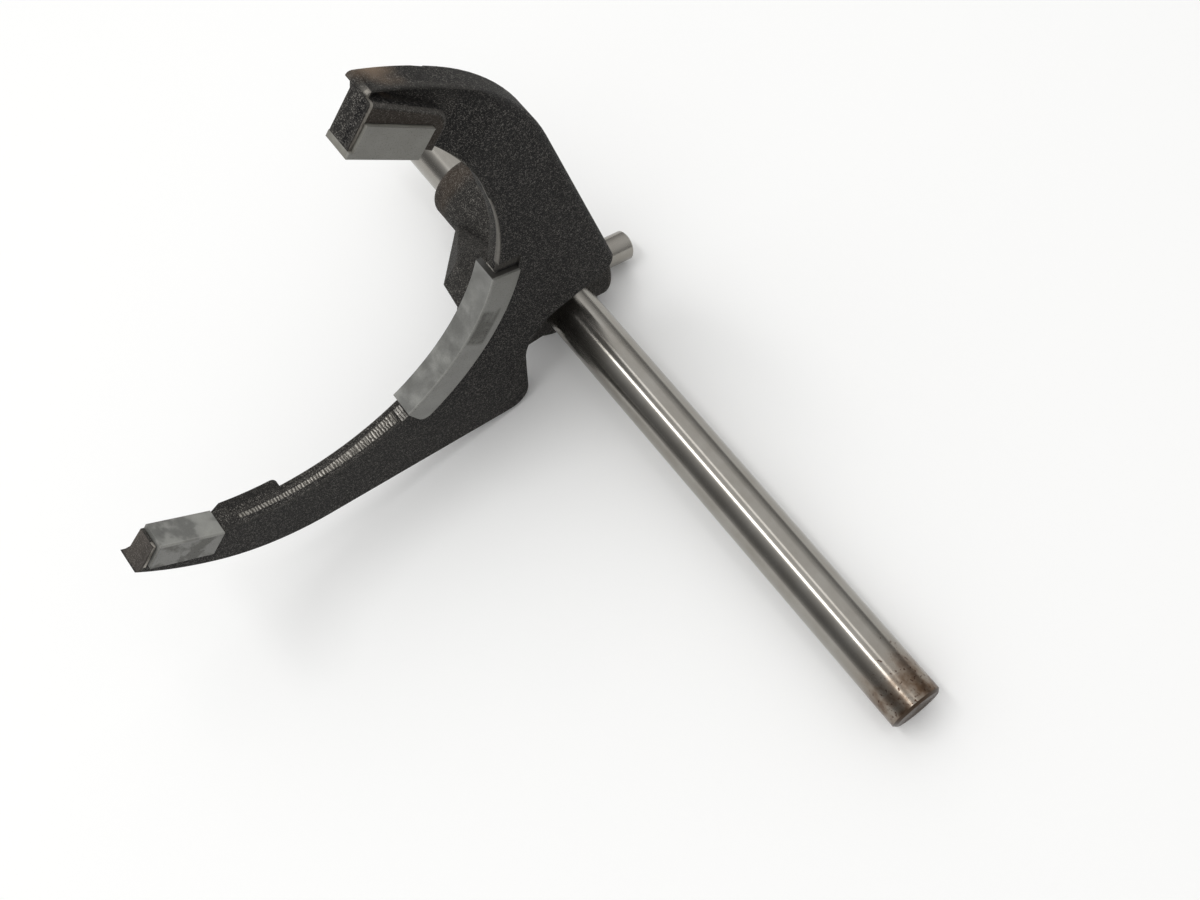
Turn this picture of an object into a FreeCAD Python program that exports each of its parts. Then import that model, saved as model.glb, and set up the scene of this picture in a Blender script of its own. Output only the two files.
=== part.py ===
import FreeCAD, Part
import math
import os

from FreeCAD import Vector

# Transfer case shift fork on its rail, in millimetres.
# It is drawn with x along the rail, y across the fork and z from the rail to the sleeve
# centre. x = 0 is the working face of the wear pads. The last step lays it down at rest.

# shift rail
rail_d = 16.0
rail_length = 244.5
rail_short_end = 99.0
rail_long_end = rail_length - rail_short_end
rail_chamfer = 0.8
# the seats of rail and pin in the casting are a little thicker, so that they press in over the ends
seat_step = 0.2
seat_lead = 1.2

# sleeve circle that the fork straddles, and the bore of the casting round it
sleeve_offset = 115.7
pad_bore_r = 63.2
fork_bore_r = 64.9
bore_land = 5.8
bore_relief = 1.5

# wear pads
pad_width = 8.2
pad_side = 1.9
pad_flange_r = 72.0
pad_gap = 0.25
pad_edge = 0.4
crown_pad_from_deg = -24.7
crown_pad_to_deg = 22.3
crown_runout = 3.6
crown_foot = 3.2
crown_corner_r = 3.0
foot_step = 0.35
upper_pad_start = 106.9
lower_pad_start = 104.4

# fork plate and its rear rim
web_near = 1.3
plate_far = 8.0
rim_far = 10.7
lower_rim_root_r = 72.0
lower_rim_inner_r = 76.2
lower_rim_rise = 1.9
upper_rim_root_r = 76.7
upper_rim_inner_r = 77.8
upper_rim_rise = 0.8
rim_arc_deg = 150.0
near_round = 2.2
rear_round = 0.9
tip_spare = 6.0
upper_reach = 127.7
lower_reach = 125.6
upper_half_width = 81.1
lower_half_width = 79.0
upper_widest_z = 104.0
lower_widest_z = 99.2
tip_curve_r = 112.0
shoulder_curve_r = 66.0
upper_flank_deg = 35.4
lower_flank_deg = 32.3
upper_tip_round = 1.8
lower_tip_round = 0.7
lower_tip_lean = 1.0
upper_tip_lean = 0.0
upper_corner_r = 5.2
lower_corner_r = 7.2

# arch of the plate over the rail
arch_r = 16.0
arch_y = -1.3
arch_z = 5.4
arch_leg_deg = 37.5

# raised seat of the upper tip pad, end walls and the groove beside that seat
seat_near = 1.0
seat_outer_y = 77.0
seat_inner_y = 75.6
seat_run = 4.2
seat_round = 5.0
end_wall = 1.0
end_lip = 0.5
seat_edge = 0.9
rim_drop = 3.2
ramp_drop = 2.6
groove_floor = 6.1
groove_start_floor = 4.0
groove_rim = 0.7
groove_flare = 0.57
groove_wall = 1.3
groove_end_run = 7.0
groove_run = 18.0

# the upper arm's bore clears the sleeve towards the tip, where the cutter leaves it as cast
clear_r = 49.5
clear_shift = 17.0
clear_deg = 75.0

# rear lugs beside the tip pads
lug_from_deg = 61.0
lug_to_deg = 75.6
lug_fade = 5.4
lug_far = 10.9
lug_crown_round = 1.4

# hub, boss tube and gusset
hub_r = 15.0
hub_near = 11.2
hub_near_round = 3.0
hub_far = 33.0
pin_boss_r = 10.6
pin_boss_round = 1.2
pin_boss_reach = 16.8
boss_r = 11.6
boss_far = 67.7
boss_round = 2.6
cone_run = 6.0
hub_rear_round = 5.0
neck_low_half = 10.4
neck_wide_half = 20.4
neck_wide_z = 12.5
neck_top_half = 12.0
neck_top = 33.0
neck_far = 20.0
gusset_low_y = -6.4
gusset_high_y = 1.8
gusset_foot = 53.0
gusset_foot_z = 10.8
gusset_full = 34.0
gusset_shoulder = 29.6
gusset_shoulder_z = 34.2
gusset_top = 36.0
gusset_plate_top = 44.6
gusset_round = 0.6
gusset_thin = 1.8

# selector pin
pin_d = 9.4
pin_shank_d = 6.0
pin_at = 21.3
pin_tip = 30.1
pin_shoulder = 10.0
pin_depth = 3.0
pin_deg = -63.6
pin_chamfer = 0.5

# how the finished piece lies
lay_deg = 40.3
droop_deg = 2.8

# how far cutting tools run past the metal, and the play in picking edges by their place
overrun = 1.0
inside_bore = 4.0
near_zero = 1e-3

rail_r = rail_d / 2
rail_seat_r = rail_r + seat_step
pin_seat_d = pin_d + 2 * seat_step
x_axis = Vector(1, 0, 0)
sleeve_centre = Vector(0, 0, sleeve_offset)


def at(x, y, z):
    return Vector(x, y, z)


def polar(radius, degrees, x=0.0):
    """Point on a circle about the sleeve axis, measured from the crown towards +y."""
    a = math.radians(degrees)
    return at(x, radius * math.sin(a), sleeve_offset - radius * math.cos(a))


def sector(points, start, stop):
    """Ring sector about the sleeve axis from a closed outline of x and radius."""
    outline = [polar(radius, start, x) for x, radius in points]
    face = Part.Face(Part.makePolygon(outline + outline[:1]))
    return face.revolve(sleeve_centre, x_axis, stop - start)


def ring_block(x0, x1, r0, r1, start, stop):
    return sector([(x0, r0), (x1, r0), (x1, r1), (x0, r1)], start, stop)


def box(x0, x1, y0, y1, z0, z1):
    low = at(min(x0, x1), min(y0, y1), min(z0, z1))
    return Part.makeBox(abs(x1 - x0), abs(y1 - y0), abs(z1 - z0), low)


def rod(radius, x0, x1):
    return Part.makeCylinder(radius, x1 - x0, at(x0, 0, 0), x_axis)


def arc_edge(cy, cz, radius, start, stop):
    """Arc in the plane of the plate, angles from +y towards +z."""
    def on(degrees):
        a = math.radians(degrees)
        return at(0, cy + radius * math.cos(a), cz + radius * math.sin(a))
    return Part.Arc(on(start), on((start + stop) / 2), on(stop)).toShape()


def crossing(p, u, q, w):
    """Where the line through p along u meets the line through q along w."""
    det = u.y * -w.z + w.y * u.z
    t = ((q.y - p.y) * -w.z + w.y * (q.z - p.z)) / det
    return p + u * t


def corner_edge(p, back, ahead, radius):
    """Rounded corner at p between the unit directions back and ahead."""
    half = back.getAngle(ahead) / 2
    middle = (back + ahead).normalize()
    centre = p + middle * (radius / math.sin(half))
    reach = radius / math.tan(half)
    return Part.Arc(p + back * reach, centre - middle * radius, p + ahead * reach).toShape()


def line(p, q):
    return Part.LineSegment(p, q).toShape()


def ends(edge):
    return edge.valueAt(edge.FirstParameter), edge.valueAt(edge.LastParameter)


def arm_edges(side, half_width, widest_z, reach, flank_deg, corner_r):
    """Outer edge of one arm from past its tip to the corner beside the rail."""
    past = reach + tip_spare
    tip_deg = math.degrees(math.asin((past - widest_z) / tip_curve_r))
    curve_y = side * (half_width - tip_curve_r)
    shoulder_y = side * (half_width - shoulder_curve_r)
    if side > 0:
        outer = arc_edge(curve_y, widest_z, tip_curve_r, tip_deg, 0)
        shoulder = arc_edge(shoulder_y, widest_z, shoulder_curve_r, 0, -flank_deg)
    else:
        outer = arc_edge(curve_y, widest_z, tip_curve_r, 180 - tip_deg, 180)
        shoulder = arc_edge(shoulder_y, widest_z, shoulder_curve_r, 180, 180 + flank_deg)
    flank = math.radians(flank_deg)
    run = at(0, -side * math.sin(flank), -math.cos(flank))
    leg = math.radians(arch_leg_deg)
    leg_out = at(0, side * math.cos(leg), -math.sin(leg))
    foot = at(0, arch_y + side * arch_r * math.sin(leg), arch_z + arch_r * math.cos(leg))
    meet = crossing(ends(shoulder)[1], run, foot, leg_out)
    corner = corner_edge(meet, run * -1, leg_out * -1, corner_r)
    inner = at(0, side * fork_bore_r, past)
    edges = [line(inner, ends(outer)[0]), outer, shoulder, line(ends(shoulder)[1], ends(corner)[0]),
             corner, line(ends(corner)[1], foot)]
    return edges, inner


def plate_face():
    upper, upper_inner = arm_edges(1, upper_half_width, upper_widest_z, upper_reach,
                                   upper_flank_deg, upper_corner_r)
    lower, lower_inner = arm_edges(-1, lower_half_width, lower_widest_z, lower_reach,
                                   lower_flank_deg, lower_corner_r)
    arch = arc_edge(arch_y, arch_z, arch_r, 90 - arch_leg_deg, 90 + arch_leg_deg)
    bore = arc_edge(0, sleeve_offset, fork_bore_r, 180, 360)
    flats = [line(ends(bore)[1], upper_inner), line(ends(bore)[0], lower_inner)]
    wire = Part.Wire(Part.__sortEdges__(upper + lower + [arch, bore] + flats))
    return Part.Face(wire)


def slab(face, x0, x1):
    moved = face.copy()
    moved.translate(at(x0, 0, 0))
    return moved.extrude(at(x1 - x0, 0, 0))


def outline_edges(solid, x):
    """Edges of the outer boundary of the slab that lie in the plane x."""
    found = []
    for edge in solid.Edges:
        span = edge.BoundBox
        if abs(span.XMin - x) > near_zero or abs(span.XMax - x) > near_zero:
            continue
        mid = edge.valueAt((edge.FirstParameter + edge.LastParameter) / 2)
        bore = fork_bore_r if mid.z < sleeve_offset else abs(mid.y)
        far = math.hypot(mid.y, mid.z - sleeve_offset)
        if far > bore + near_round and mid.z < lower_reach:
            found.append(edge)
    return found


def lugs():
    """Lumps behind the bore beside the tip pads, which fade out towards the tips."""
    made = []
    for side in (1, -1):
        stop = lug_to_deg + math.degrees(lug_fade / fork_bore_r)
        lug = ring_block(overrun - plate_far, -lug_far, fork_bore_r + bore_relief, upper_rim_inner_r,
                         min(side * lug_from_deg, side * stop), max(side * lug_from_deg, side * stop))
        crown_end = polar((fork_bore_r + bore_relief + upper_rim_inner_r) / 2, side * lug_from_deg, -lug_far)
        rim = [e for e in lug.Edges if (e.CenterOfMass - crown_end).Length < near_zero]
        lug = lug.makeFillet(lug_crown_round, rim)
        full_z, flat_z = polar(fork_bore_r, lug_to_deg).z, polar(fork_bore_r, stop).z
        wedge = [(-plate_far, flat_z), (-lug_far, full_z), (-lug_far - overrun, full_z),
                 (-lug_far - overrun, flat_z + lug_fade), (-plate_far, flat_z + lug_fade)]
        made.append(lug.cut(prism([at(x, side * inside_bore, z) for x, z in wedge],
                                  at(0, side * upper_half_width, 0))))
    return made


def rim_at(solid, x):
    """Edges of a solid that lie in the plane x."""
    return [e for e in solid.Edges if abs(e.BoundBox.XMin - x) < near_zero
            and abs(e.BoundBox.XMax - x) < near_zero]


def hub():
    """Hub with the boss tube behind it and the boss of the selector pin below."""
    cone = Part.makeCone(hub_r, boss_r, cone_run, at(-hub_far, 0, 0), at(-1, 0, 0))
    main = rod(hub_r, -hub_far, -hub_near).fuse(cone).removeSplitter()
    main = main.makeFillet(hub_rear_round, rim_at(main, -hub_far))
    main = main.makeFillet(hub_near_round, rim_at(main, -hub_near))
    tube = rod(boss_r, -boss_far, -hub_far)
    tube = tube.makeFillet(boss_round, rim_at(tube, -boss_far))
    boss = pin_rod(2 * pin_boss_r, 0, pin_boss_reach)
    tip = at(-pin_at, 0, 0) + pin_direction() * pin_boss_reach
    boss = boss.makeFillet(pin_boss_round, [e for e in boss.Edges if e.Closed
                                            and (e.CenterOfMass - tip).Length < near_zero])
    return main.fuse([tube, boss])


def prism(points, along):
    return Part.Face(Part.makePolygon(points + points[:1])).extrude(along)


def neck():
    """Block that joins the plate to the hub, narrow at the rail and flared above it."""
    outline = [(-neck_low_half, 0), (-neck_wide_half, neck_wide_z), (-neck_top_half, neck_top),
               (neck_top_half, neck_top), (neck_wide_half, neck_wide_z), (neck_low_half, 0)]
    return prism([at(-neck_far, y, z) for y, z in outline], at(neck_far - rim_far, 0, 0))


def gusset():
    """Rib that stiffens the boss tube towards the crown and thins out along the tube."""
    low, high = gusset_low_y, gusset_high_y
    side = [(-gusset_foot, 0), (-gusset_foot, gusset_foot_z), (-gusset_shoulder, gusset_shoulder_z),
            (-neck_far, gusset_top), (-rim_far, gusset_plate_top), (-plate_far, gusset_plate_top),
            (-plate_far, arch_z + arch_r), (-rim_far, arch_z + arch_r), (-rim_far, 0)]
    plan = [(-gusset_foot, low), (-gusset_foot, low + gusset_thin), (-gusset_full, high),
            (-plate_far, high), (-plate_far, low)]
    rib = prism([at(x, low, z) for x, z in side], at(0, high - low, 0))
    rib = rib.common(prism([at(x, y, 0) for x, y in plan], at(0, 0, sleeve_offset)))
    crest = [e for e in rib.Edges if e.BoundBox.ZMin > gusset_foot_z / 2 and e.BoundBox.XLength > overrun
             and e.BoundBox.XMax < near_zero - neck_far
             and (e.BoundBox.YMax < low + near_zero or e.BoundBox.YMin > low + gusset_thin / 2)]
    return rib.makeFillet(gusset_round, crest)


def seat_block():
    """Raised seat of the upper tip pad, with a rounded inner end."""
    first = upper_pad_start - seat_run
    points = [at(-plate_far, fork_bore_r, first), at(-plate_far, seat_inner_y, first),
              at(-plate_far, seat_outer_y, upper_reach), at(-plate_far, fork_bore_r, upper_reach)]
    block = prism(points, at(plate_far - seat_near, 0, 0))
    post = [e for e in block.Edges if e.BoundBox.XLength > near_zero
            and abs(e.BoundBox.ZMin - first) < near_zero
            and abs(e.BoundBox.YMin - seat_inner_y) < near_zero]
    block = block.makeFillet(seat_round, post)
    rim = [e for e in block.Edges if abs(e.BoundBox.XMin + seat_near) < near_zero
           and e.CenterOfMass.y > seat_inner_y - seat_round and e.BoundBox.YMin > fork_bore_r + pad_side
           and e.BoundBox.ZLength > near_zero]
    return block.makeFillet(seat_edge, rim)


def across_upper_arm(points):
    """Solid over the whole width of the upper arm from an outline of x and z."""
    from_y = fork_bore_r - inside_bore
    return prism([at(x, from_y, z) for x, z in points], at(0, 2 * (upper_half_width - from_y), 0))


def groove():
    """Ramp that lowers the upper arm towards its tip, and the groove between its rim and its seat."""
    low = upper_pad_start - groove_run
    high = upper_reach - groove_wall
    drop = across_upper_arm([(0, low), (-web_near, low), (-ramp_drop, upper_pad_start),
                             (-rim_drop, upper_reach), (-rim_drop, upper_reach + tip_spare),
                             (0, upper_reach + tip_spare)])
    deep = across_upper_arm([(0, low), (-web_near, low),
                             (-groove_start_floor, upper_pad_start - seat_run),
                             (-groove_floor, upper_reach - groove_end_run), (-groove_floor, high),
                             (0, high)])
    rim_r = tip_curve_r - groove_rim
    past = groove_floor + overrun
    inside = Part.makeCone(rim_r + groove_flare * rim_drop, rim_r - groove_flare * (past - rim_drop), past,
                           at(0, upper_half_width - tip_curve_r, upper_widest_z), x_axis * -1)
    return deep.common(inside).fuse(drop)


def tip_end(side, half_width, widest_z, reach, radius, lean):
    """Cutters that end an arm at its reach with a rounded outer corner."""
    top = reach + lean
    tip_y = half_width - tip_curve_r + math.sqrt(tip_curve_r ** 2 - (top - widest_z) ** 2)
    inner_y, outer_y = fork_bore_r - inside_bore, tip_y + inside_bore
    outline = [(inner_y, reach), (fork_bore_r, reach), (tip_y, top), (outer_y, top),
               (outer_y, top + 2 * tip_spare), (inner_y, top + 2 * tip_spare)]
    past = prism([at(-rim_far - overrun, side * y, z) for y, z in outline],
                 at(rim_far + 2 * overrun, 0, 0))
    corner = box(overrun, -rim_far - overrun, side * (tip_y - radius), side * (tip_y + radius),
                 top - radius, top + overrun)
    round_bar = Part.makeCylinder(radius, rim_far + 4 * overrun,
                                  at(-rim_far - 2 * overrun, side * (tip_y - radius), top - radius),
                                  x_axis)
    return [past, corner.cut(round_bar)]


def plate_with_rim():
    """Plate between the near face and the far face, with the thicker rim along its outside."""
    plate = slab(plate_face(), -rim_far, -web_near)
    plate = plate.makeFillet(near_round, outline_edges(plate, -web_near))
    plate = plate.makeFillet(rear_round, outline_edges(plate, -rim_far))
    behind = -rim_far - overrun
    for side, root, inner, slope in ((-1, lower_rim_root_r, lower_rim_inner_r, lower_rim_rise),
                                     (1, upper_rim_root_r, upper_rim_inner_r, upper_rim_rise)):
        room = [(-plate_far, 0), (-plate_far, root), (-plate_far - slope, inner), (behind, inner),
                (behind, 0)]
        plate = plate.cut(sector(room, min(0, side * rim_arc_deg), max(0, side * rim_arc_deg)))
    ends_cut = tip_end(1, upper_half_width, upper_widest_z, upper_reach, upper_tip_round,
                       upper_tip_lean)
    ends_cut += tip_end(-1, lower_half_width, lower_widest_z, lower_reach, lower_tip_round,
                        lower_tip_lean)
    return plate.cut(ends_cut)


def round_corner(block, radius, degrees, round_r):
    """Rounds the edge of a ring block that runs along x at this place."""
    spot = polar(radius, degrees)
    edges = [e for e in block.Edges if e.BoundBox.XLength > near_zero
             and math.hypot(e.CenterOfMass.y - spot.y, e.CenterOfMass.z - spot.z) < near_zero]
    return block.makeFillet(round_r, edges)


def crown_room():
    """Seat of the crown pad in the near face, with the cutter run-out at both ends."""
    gap = math.degrees(pad_gap / pad_bore_r)
    start = crown_pad_from_deg - gap
    stop = crown_pad_to_deg + gap + math.degrees(crown_runout / pad_bore_r)
    foot = start - math.degrees(crown_foot / pad_bore_r)
    inner_r, outer_r = fork_bore_r - inside_bore, pad_flange_r + pad_gap
    pocket = ring_block(overrun, -pad_side, inner_r, outer_r, start, stop)
    return [round_corner(pocket, outer_r, start, crown_corner_r),
            ring_block(overrun, -bore_land, inner_r, fork_bore_r + foot_step, foot, start)]


def tip_room(side, start, reach):
    """Flat seat of a tip pad in the bore, and the seat of its flange in the near face."""
    inner_y = side * (fork_bore_r - inside_bore)
    flange = box(overrun, -pad_side, inner_y, side * (pad_flange_r + pad_gap), start - pad_gap,
                 reach - end_wall)
    wall = box(overrun, -lug_far - overrun, inner_y, side * fork_bore_r, start - pad_gap,
               sleeve_offset)
    return [flange, wall]


def casting():
    body = plate_with_rim().cut(groove())
    lip = box(-plate_far, -web_near, -fork_bore_r - overrun, end_lip - fork_bore_r,
              lower_reach - end_wall, lower_reach)
    body = body.fuse([seat_block(), lip, hub(), neck(), gusset()] + lugs())
    tools = crown_room() + [rod(rail_seat_r, -boss_far - overrun, overrun)]
    tools += tip_room(1, upper_pad_start, upper_reach) + tip_room(-1, lower_pad_start, lower_reach)
    for start, stop in ((-lug_to_deg, crown_pad_from_deg), (crown_pad_to_deg, lug_to_deg)):
        tools.append(ring_block(-bore_land, -lug_far - overrun, fork_bore_r - inside_bore,
                                fork_bore_r + bore_relief, start, stop))
    clear = Part.makeCylinder(clear_r, overrun + bore_land,
                              polar(clear_shift, clear_deg, -bore_land), x_axis)
    tools.append(clear.common(box(-bore_land, overrun, 0, upper_half_width, 0, upper_pad_start)))
    tools += [pin_rod(pin_seat_d, pin_shoulder, pin_tip), pin_rod(pin_shank_d, 0, pin_tip)]
    return body.cut(tools).removeSplitter()


def pin_direction():
    a = math.radians(pin_deg)
    return at(0, math.cos(a), math.sin(a))


def pin_rod(diameter, start, stop):
    way = pin_direction()
    return Part.makeCylinder(diameter / 2, stop - start, at(-pin_at, 0, 0) + way * start, way)


def selector_pin():
    """Stepped pin: shank in the rail, seat in the boss with a lead cone, and the free end."""
    head = pin_rod(pin_d, pin_shoulder, pin_tip)
    way = pin_direction()
    tip = at(-pin_at, 0, 0) + way * pin_tip
    rim = [e for e in head.Edges if e.Closed and (e.CenterOfMass - tip).Length < near_zero]
    lead = Part.makeCone(pin_seat_d / 2, pin_d / 2, seat_lead,
                         at(-pin_at, 0, 0) + way * pin_boss_reach, way)
    return head.makeChamfer(pin_chamfer, rim).fuse(
        [pin_rod(pin_seat_d, pin_shoulder, pin_boss_reach), lead,
         pin_rod(pin_shank_d, -pin_depth, pin_shoulder)]).removeSplitter()


def rail():
    """Round bar with a press seat where the casting holds it, and a lead cone at each end of that."""
    bar = rod(rail_r, -rail_short_end, rail_long_end)
    rims = [e for e in bar.Edges if e.Closed]
    seat = rod(rail_seat_r, -boss_far, -rim_far)
    leads = [Part.makeCone(rail_seat_r, rail_r, seat_lead, at(-rim_far, 0, 0), x_axis),
             Part.makeCone(rail_seat_r, rail_r, seat_lead, at(-boss_far, 0, 0), x_axis * -1)]
    bar = bar.makeChamfer(rail_chamfer, rims).fuse([seat] + leads).removeSplitter()
    return bar.cut(pin_rod(pin_shank_d, -pin_depth, rail_d))


def crown_pad():
    """Curved wear pad at the crown, a wall in the bore with a flange over the near face."""
    middle_r = (pad_bore_r + fork_bore_r) / 2
    wall = ring_block(0, -pad_width, pad_bore_r, fork_bore_r, crown_pad_from_deg, crown_pad_to_deg)
    flange = ring_block(0, -pad_side, middle_r, pad_flange_r, crown_pad_from_deg, crown_pad_to_deg)
    flange = round_corner(flange, pad_flange_r, crown_pad_from_deg, crown_corner_r)
    body = wall.fuse(flange).removeSplitter()
    ridge = []
    for e in body.Edges:
        ends_r = [math.hypot(v.Y, v.Z - sleeve_offset) for v in e.Vertexes]
        if abs(e.BoundBox.XMin) < near_zero and all(abs(r - pad_bore_r) < near_zero for r in ends_r):
            ridge.append(e)
    return body.makeFillet(pad_edge, ridge)


def tip_pad(side, start, stop, wall_stop):
    """Straight wear pad of one arm, its flange ending at stop and its wall at wall_stop."""
    middle_y = side * (pad_bore_r + fork_bore_r) / 2
    wall = box(0, -pad_width, side * pad_bore_r, side * fork_bore_r, start, wall_stop)
    flange = box(0, -pad_side, middle_y, side * pad_flange_r, start, stop)
    body = wall.fuse(flange).removeSplitter()
    ridge = [e for e in body.Edges if e.BoundBox.ZLength > near_zero
             and abs(e.BoundBox.XMin) < near_zero
             and abs(abs(e.CenterOfMass.y) - pad_bore_r) < near_zero]
    return body.makeFillet(pad_edge, ridge)


def laid(shape):
    """Turns the drawing frame into the resting frame."""
    shape.rotate(at(0, 0, 0), x_axis, lay_deg)
    shape.rotate(at(0, 0, 0), at(0, 1, 0), droop_deg)
    return shape


upper_flange_stop = upper_reach - end_wall - pad_gap
lower_flange_stop = lower_reach - end_wall - pad_gap
pieces = {
    "fork_casting": casting(),
    "shift_rail": rail(),
    "selector_pin": selector_pin(),
    "crown_pad": crown_pad(),
    "upper_tip_pad": tip_pad(1, upper_pad_start, upper_flange_stop, upper_reach),
    "lower_tip_pad": tip_pad(-1, lower_pad_start, lower_flange_stop, lower_flange_stop),
}

os.makedirs("parts", exist_ok=True)
laid_pieces = {name: laid(shape) for name, shape in pieces.items()}
whole = Part.makeCompound(list(laid_pieces.values())).BoundBox
shift = at(-(whole.XMin + whole.XMax) / 2, -(whole.YMin + whole.YMax) / 2, -whole.ZMin)
for name, shape in laid_pieces.items():
    shape.translate(shift)
    shape.exportStep("parts/" + name + ".step")
    print(name, shape.isValid(), len(shape.Solids), round(shape.Volume, 1))
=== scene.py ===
import bpy
import math
import numpy as np
from mathutils import Matrix


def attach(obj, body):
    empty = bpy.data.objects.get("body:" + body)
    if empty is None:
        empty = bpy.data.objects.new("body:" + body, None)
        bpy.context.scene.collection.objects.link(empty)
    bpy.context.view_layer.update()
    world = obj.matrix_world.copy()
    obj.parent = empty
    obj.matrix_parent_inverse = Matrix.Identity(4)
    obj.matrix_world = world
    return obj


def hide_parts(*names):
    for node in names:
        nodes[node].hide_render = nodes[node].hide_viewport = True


# Transfer case shift fork on its rail, lying on a pale floor. Metres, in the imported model's frame.

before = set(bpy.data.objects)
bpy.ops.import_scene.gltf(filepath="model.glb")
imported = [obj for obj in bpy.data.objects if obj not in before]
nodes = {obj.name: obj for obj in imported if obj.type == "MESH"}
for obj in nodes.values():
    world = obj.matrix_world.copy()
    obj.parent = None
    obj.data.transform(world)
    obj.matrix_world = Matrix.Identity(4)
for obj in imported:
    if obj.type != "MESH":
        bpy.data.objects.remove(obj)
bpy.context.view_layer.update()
print("frame loaded, nodes:", ", ".join(sorted(nodes)))

# How the fork lies: turned about the rail, then tipped until the rail's end rests on the floor.
# In the fork's own millimetres x runs along the rail, y across the arms and z up from the rail
# to the sleeve, and x = 0 is the working face of the wear pads.
forkLie = {
    "layDeg": 40.3,
    "droopDeg": 2.8,
    "shiftMm": (23.9589, -51.7712, 24.9000),
    "sleeveUp": 115.7,  # z of the sleeve's axis
}
turnToRow = (Matrix.Rotation(math.radians(forkLie["droopDeg"]), 3, "Y")
             @ Matrix.Rotation(math.radians(forkLie["layDeg"]), 3, "X"))
turnToFork = turnToRow.transposed()


def toRow(points):
    # the frame's metres = turn * (fork millimetres - shift) / 1000
    turned = (np.asarray(points, float) - np.array(forkLie["shiftMm"])) @ np.array(turnToRow).T
    return turned / 1000


def linear(hexColour):
    # sRGB hex to linear: c / 12.92 up to 0.04045, otherwise ((c + 0.055) / 1.055) to the power 2.4
    channels = [int(hexColour[i:i + 2], 16) / 255 for i in (1, 3, 5)]
    return tuple(c / 12.92 if c <= 0.04045 else ((c + 0.055) / 1.055) ** 2.4
                 for c in channels) + (1.0,)


def setStops(ramp, stops):
    # each stop is a place with a hex colour or a grey level
    while len(ramp.elements) < len(stops):
        ramp.elements.new(0.5)
    for element, (place, colour) in zip(ramp.elements, stops):
        element.position = place
        element.color = linear(colour) if isinstance(colour, str) else (colour, colour, colour, 1)


def addNode(tree, kind, settings, inputs=None):
    # One node. Settings are its properties, or the stops of its colour ramp. An input, by its place
    # or name, is linked to a socket or a node, or else set. A node stands for its first output in use.
    node = tree.nodes.new("ShaderNode" + kind)
    for name, value in settings.items():
        if name == "stops":
            setStops(node.color_ramp, value)
        else:
            setattr(node, name, value)
    inUse = {socket.name: socket for socket in node.inputs if socket.enabled}
    for name, value in (inputs or {}).items():
        socket = node.inputs[name] if isinstance(name, int) else inUse[name]
        if isinstance(value, bpy.types.Node):
            value = next(output for output in value.outputs if output.enabled)
        if isinstance(value, bpy.types.NodeSocket):
            tree.links.new(value, socket)
        else:
            socket.default_value = value
    return node


def newFinish(name):
    # a material with an empty tree
    finish = bpy.data.materials.new(name)
    finish.use_nodes = True
    finish.node_tree.nodes.clear()
    return finish, finish.node_tree


def forkPlace(tree):
    # fork millimetres = turn back * 1000 * the frame's metres + shift
    place = addNode(tree, "TexCoord", {})
    return addNode(tree, "Mapping", {}, {
        "Vector": place.outputs["Object"], "Location": forkLie["shiftMm"],
        "Rotation": turnToFork.to_euler("XYZ"), "Scale": (1000, 1000, 1000)})


def joinMasks(tree, operation, *masks):
    # MULTIPLY gives where all of the masks meet, MAXIMUM where any of them is
    joined = masks[0]
    for mask in masks[1:]:
        joined = addNode(tree, "Math", {"operation": operation}, {0: joined, 1: mask})
    return joined


def within(tree, value, low, high, soft):
    # mask: 1 between low and high, falling smoothly to 0 over the soft width outside them
    rise = addNode(tree, "MapRange", {"interpolation_type": "SMOOTHSTEP"},
                   {"Value": value, "From Min": low - soft, "From Max": low})
    fall = addNode(tree, "MapRange", {"interpolation_type": "SMOOTHSTEP"},
                   {"Value": value, "From Min": high, "From Max": high + soft,
                    "To Min": 1.0, "To Max": 0.0})
    return joinMasks(tree, "MULTIPLY", rise, fall)


def measureFork(tree, fork):
    # along the rail, across the arms and up to the sleeve, then the radius and the angle round
    # the sleeve's axis: 0 degrees points back to the rail, and the upper arm is on the plus side
    apart = addNode(tree, "SeparateXYZ", {}, {"Vector": fork})
    along, across, up = apart.outputs
    inward = addNode(tree, "Math", {"operation": "SUBTRACT"}, {0: forkLie["sleeveUp"], 1: up})
    spoke = addNode(tree, "CombineXYZ", {}, {"Y": across, "Z": inward})
    radius = addNode(tree, "VectorMath", {"operation": "LENGTH"}, {0: spoke})
    turn = addNode(tree, "Math", {"operation": "ARCTAN2"}, {0: across, 1: inward})
    turnDeg = addNode(tree, "Math", {"operation": "DEGREES"}, {0: turn})
    return {"along": along, "across": across, "up": up, "radius": radius, "turnDeg": turnDeg}


def placeMask(tree, where, place):
    # Where a painted place is. Each measure that bounds it gives from, to and soft edge, in
    # millimetres, degrees or a pattern's level; its strength weakens the whole.
    spans = [within(tree, where[measure], *place[measure]) for measure in where if measure in place]
    return joinMasks(tree, "MULTIPLY", *spans, place.get("strength", 1.0))


def paint(tree, colour, places, masks, names):
    # the named places' own colours, each laid over what is under it where its mask is
    for name in names:
        colour = addNode(tree, "Mix", {"data_type": "RGBA"}, {
            "Factor": masks[name], "A": colour, "B": linear(places[name]["hex"])})
    return colour


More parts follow.
